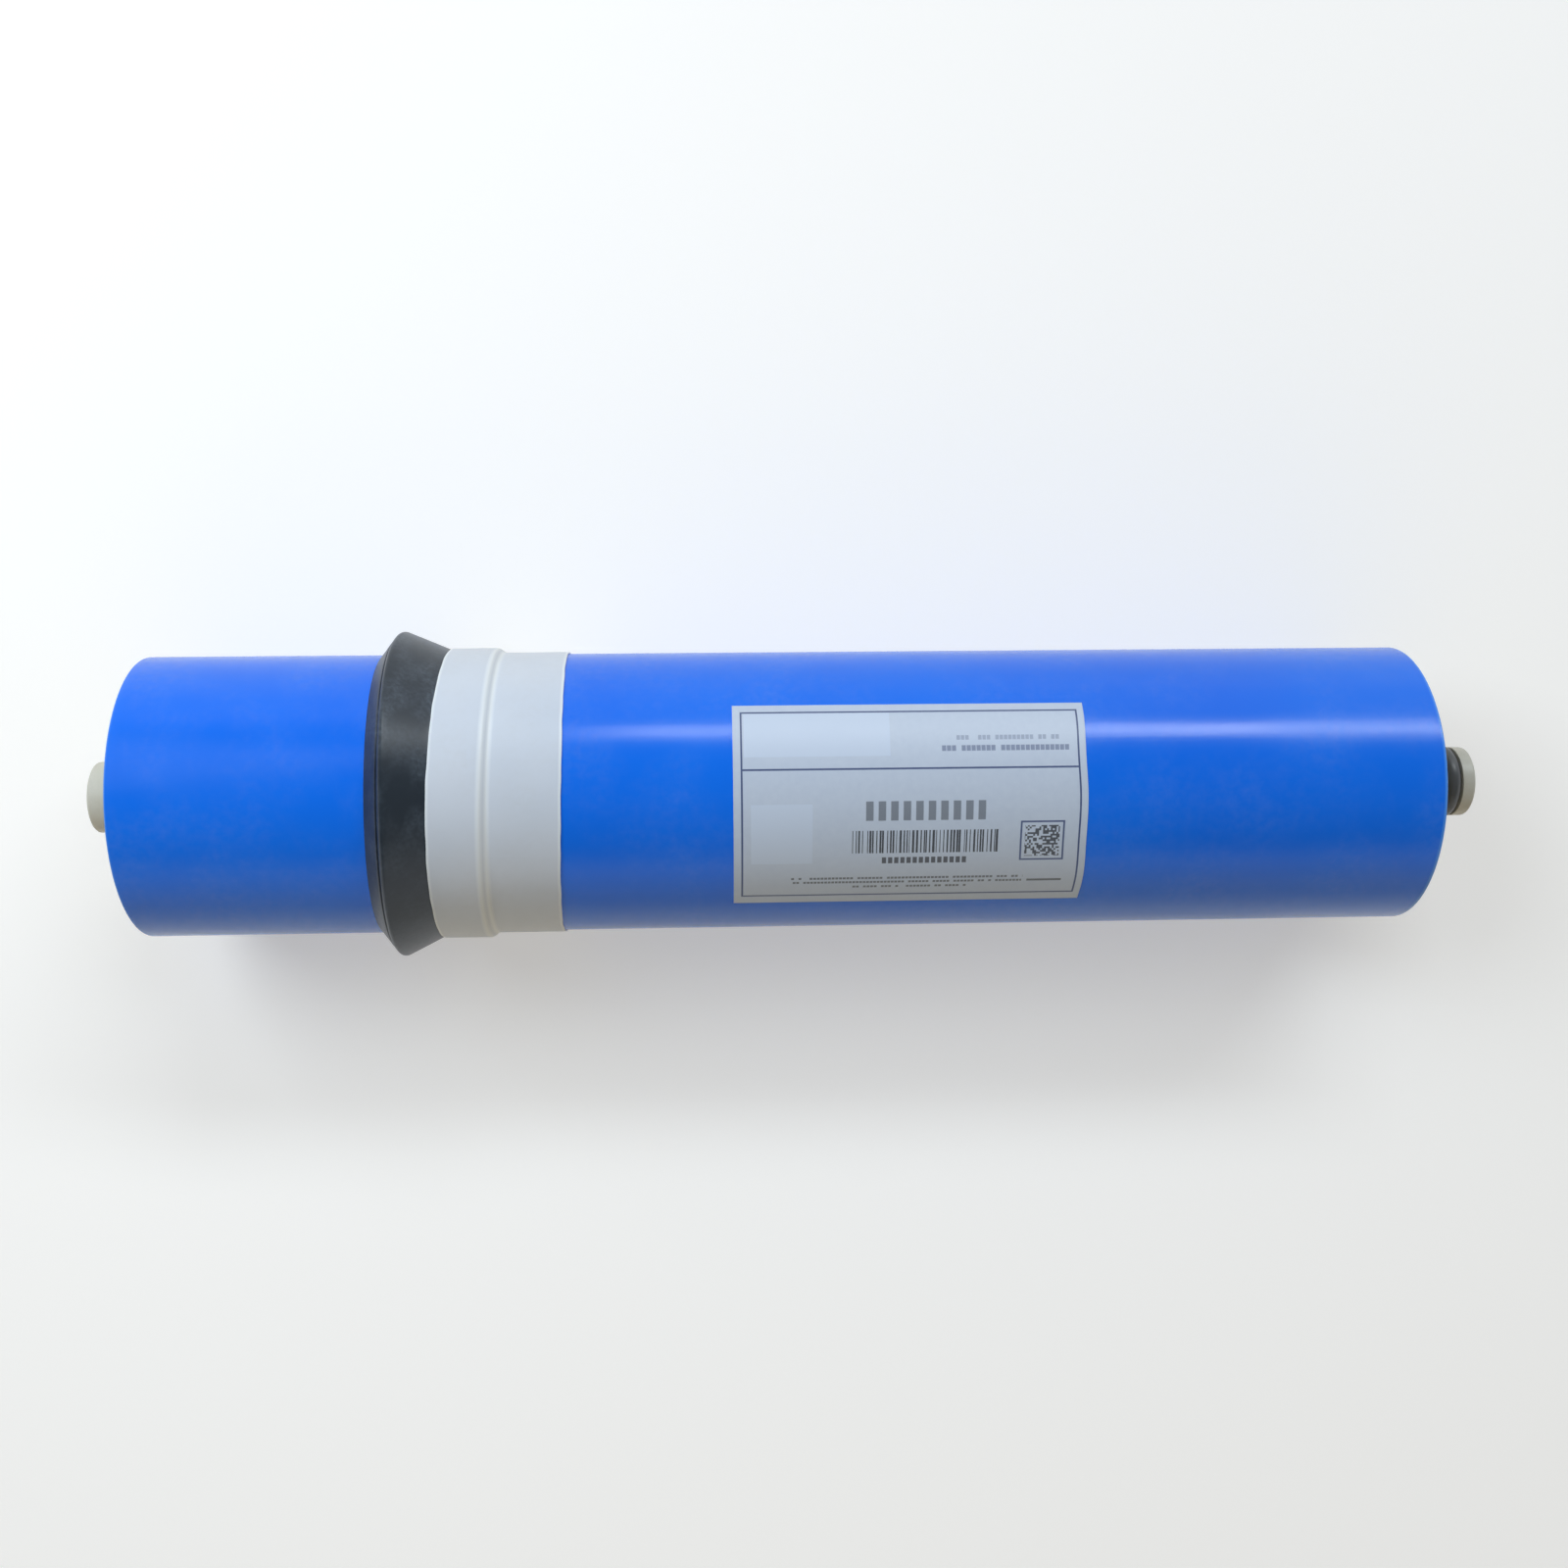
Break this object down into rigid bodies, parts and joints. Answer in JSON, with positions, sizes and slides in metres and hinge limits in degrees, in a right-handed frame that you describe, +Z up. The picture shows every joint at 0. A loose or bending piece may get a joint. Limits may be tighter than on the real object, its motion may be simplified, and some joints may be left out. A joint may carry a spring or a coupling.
{
  "type": "ro membrane element",
  "caption": "Spiral-wound reverse osmosis element in blue film, with core tube, O-rings, rubber brine seal under a white band, and a plain label.",
  "frame": {"origin": "on the ground under the middle of the element's length, below the tube's axis", "axes": "+X along the tube towards the outlet end with the O-rings, +Z up, +Y across"},
  "size_m": [0.333, 0.0782, 0.0754],
  "materials": {
    "tube_plastic": "moulded off-white plastic",
    "o_ring_rubber": "black rubber, lightly greased",
    "carrier_cloth": "fine knitted cloth",
    "membrane_sheet": "cream non-woven sheet with glued edges",
    "spacer_net": "translucent grey plastic net",
    "blue_film": "satin-gloss blue film",
    "seal_rubber": "charcoal rubber with a dusty sheen",
    "white_tape": "satin white plastic tape",
    "label_paper": "coated label with plain printed bars"
  },
  "bodies": {
    "root": {"permeate_tube": "tube_plastic", "o_ring_outer": "o_ring_rubber", "o_ring_inner": "o_ring_rubber", "core_carrier": "carrier_cloth", "membrane_envelope_1": "membrane_sheet", "membrane_envelope_2": "membrane_sheet", "membrane_envelope_3": "membrane_sheet", "feed_spacer_1": "spacer_net", "feed_spacer_2": "spacer_net", "feed_spacer_3": "spacer_net", "outer_film": "blue_film", "brine_seal": "seal_rubber", "seal_band": "white_tape", "label": "label_paper"}
  },
  "joints": []
}
